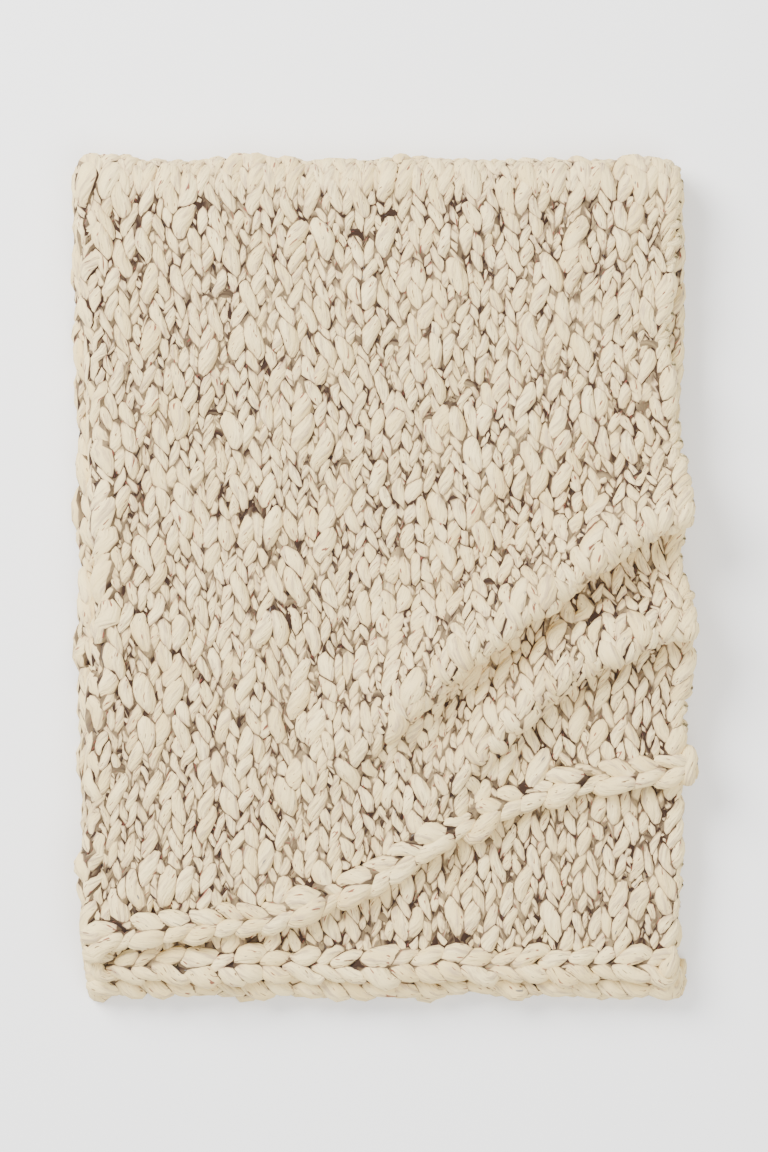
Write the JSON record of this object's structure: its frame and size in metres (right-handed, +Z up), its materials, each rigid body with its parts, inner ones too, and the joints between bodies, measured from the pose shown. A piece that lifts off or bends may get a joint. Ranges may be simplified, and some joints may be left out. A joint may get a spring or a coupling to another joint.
{
  "type": "folded knitted throw",
  "caption": "Chunky slub-yarn knitted throw folded in four and laid flat, its top layer rumpled and its hem drawn up on a slant.",
  "frame": {"origin": "centre of the folded throw's footprint, on the surface it lies on", "axes": "+Z up, +Y towards the top fold, +X towards the open selvedges"},
  "size_m": [0.635, 0.8498, 0.1064],
  "materials": {
    "yarn": "matt cream wool-blend yarn with rust and charcoal flecks"
  },
  "bodies": {
    "lower_half": {"bottom_layer": "yarn", "third_layer": "yarn", "lower_side_fold": "yarn", "bottom_selvedge": "yarn", "third_selvedge": "yarn", "bind_off_edge_bottom": "yarn", "bind_off_edge_third": "yarn", "inner_top_fold": "yarn", "outer_top_fold": "yarn"},
    "upper_half": {"second_layer": "yarn", "top_layer": "yarn", "top_layer_gathers": "yarn", "upper_side_fold": "yarn", "second_selvedge": "yarn", "top_selvedge": "yarn", "cast_on_edge_second": "yarn", "cast_on_edge_top": "yarn"}
  },
  "joints": [
    {"name": "top_fold", "type": "hinge", "parent": "lower_half", "child": "upper_half", "pos_m": [0, 0.401, 0.032], "axis": [-1, 0, 0], "range_deg": [0, 174], "deforming": ["inner_top_fold", "outer_top_fold"]}
  ]
}
